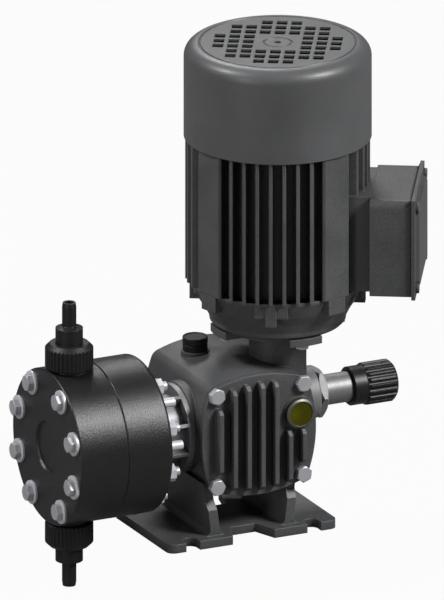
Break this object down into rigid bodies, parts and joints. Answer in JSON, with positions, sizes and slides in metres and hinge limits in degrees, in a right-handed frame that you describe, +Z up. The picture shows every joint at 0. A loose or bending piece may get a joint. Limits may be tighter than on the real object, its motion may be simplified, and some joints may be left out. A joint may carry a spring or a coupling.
{
  "type": "diaphragm metering pump",
  "caption": "Motor-driven diaphragm dosing pump: finned vertical motor on a ribbed worm gear casing, round dosing head with ball valves, and a stroke knob.",
  "frame": {"origin": "middle of the four foot slots, on the underside of the foot", "axes": "+X towards the stroke knob, +Y away from the gear cover, +Z up along the motor"},
  "size_m": [0.2761, 0.1445, 0.3555],
  "materials": {
    "casing_paint": "dark grey enamel on cast aluminium",
    "cowl_paint": "dark grey enamel on pressed steel",
    "head_plastic": "satin black moulded plastic",
    "knob_plastic": "black moulded plastic",
    "zinc_steel": "zinc plated",
    "lantern_aluminium": "polished",
    "sleeve_steel": "satin turned steel",
    "shaft_steel": "ground steel",
    "wheel_bronze": "machined bronze",
    "copper": "lacquered copper wire",
    "lamination": "laminated sheet steel",
    "seal_rubber": "black rubber",
    "gasket_sheet": "fibre sheet",
    "sight_lens": "clear lens over golden oil",
    "bezel_metal": "turned aluminium",
    "ceramic": "ground ceramic"
  },
  "bodies": {
    "housing": {"gear_casing": "casing_paint", "casing_cover": "casing_paint", "motor_end_shield": "casing_paint", "motor_frame": "casing_paint", "motor_rear_shield": "casing_paint", "terminal_box": "casing_paint", "terminal_box_lid": "casing_paint", "tie_bolts": "casing_paint", "terminal_lid_screws": "casing_paint", "fan_cowl": "cowl_paint", "pump_head": "head_plastic", "head_back_plate": "head_plastic", "union_nuts": "head_plastic", "suction_hose_tail": "head_plastic", "discharge_hose_tail": "head_plastic", "valve_cages": "head_plastic", "valve_seats": "head_plastic", "oil_filler_plug": "knob_plastic", "cable_gland": "knob_plastic", "cover_screws": "zinc_steel", "head_bolts": "zinc_steel", "head_washers": "zinc_steel", "head_nuts": "zinc_steel", "lantern_screws": "zinc_steel", "flange_screws": "zinc_steel", "oil_drain_plug": "zinc_steel", "lantern": "lantern_aluminium", "adjuster_sleeve": "sleeve_steel", "adjuster_lock_ring": "sleeve_steel", "adjuster_collar": "sleeve_steel", "return_spring": "shaft_steel", "motor_bearings": "shaft_steel", "worm_bearings": "shaft_steel", "eccentric_bearings": "shaft_steel", "rod_guide_bush": "wheel_bronze", "stator_windings": "copper", "stator_core": "lamination", "diaphragm": "seal_rubber", "valve_seals": "seal_rubber", "rod_seal": "seal_rubber", "worm_shaft_seal": "seal_rubber", "cover_gasket": "gasket_sheet", "terminal_box_gasket": "gasket_sheet", "sight_glass_lens": "sight_lens", "sight_glass_bezel": "bezel_metal"},
    "rotor": {"motor_shaft": "shaft_steel", "rotor_core": "lamination", "cooling_fan": "knob_plastic", "worm": "shaft_steel"},
    "eccentric": {"eccentric_shaft": "shaft_steel", "worm_wheel": "wheel_bronze", "eccentric_rings": "shaft_steel"},
    "rod": {"push_rod": "shaft_steel", "yoke": "shaft_steel", "diaphragm_core": "shaft_steel"},
    "stop": {"stop_pad": "sleeve_steel"},
    "knob": {"adjusting_spindle": "sleeve_steel", "stroke_knob": "knob_plastic"},
    "suction_ball": {"suction_ball": "ceramic"},
    "discharge_ball": {"discharge_ball": "ceramic"}
  },
  "joints": [
    {"name": "rotor_spin", "type": "hinge", "parent": "housing", "child": "rotor", "pos_m": [0.03799, 0, 0.2], "axis": [0, 0, 1], "continuous": true},
    {"name": "eccentric_spin", "type": "hinge", "parent": "housing", "child": "eccentric", "pos_m": [0.0062, 0, 0.072], "axis": [0, 1, 0], "continuous": true},
    {"name": "rod_slide", "type": "slide", "parent": "housing", "child": "rod", "axis": [1, 0, 0], "range_m": [-0.004, 0], "stiffness_N_per_m": 2500, "springref_m": 0.004, "deforming": ["return_spring", "diaphragm"]},
    {"name": "stop_slide", "type": "slide", "parent": "housing", "child": "stop", "axis": [-1, 0, 0], "range_m": [0, 0.004]},
    {"name": "knob_turn", "type": "hinge", "parent": "stop", "child": "knob", "pos_m": [0.1, 0.024, 0.072], "axis": [-1, 0, 0], "range_deg": [0, 1440]},
    {"name": "suction_ball_lift", "type": "slide", "parent": "housing", "child": "suction_ball", "axis": [0, 0, 1], "range_m": [0, 0.0025]},
    {"name": "discharge_ball_lift", "type": "slide", "parent": "housing", "child": "discharge_ball", "axis": [0, 0, 1], "range_m": [0, 0.0025]}
  ],
  "couplings": [
    {"joint": "eccentric_spin", "follows": "rotor_spin", "ratio": 0.025},
    {"joint": "knob_turn", "follows": "stop_slide", "rad_per_m": 6283.2}
  ]
}
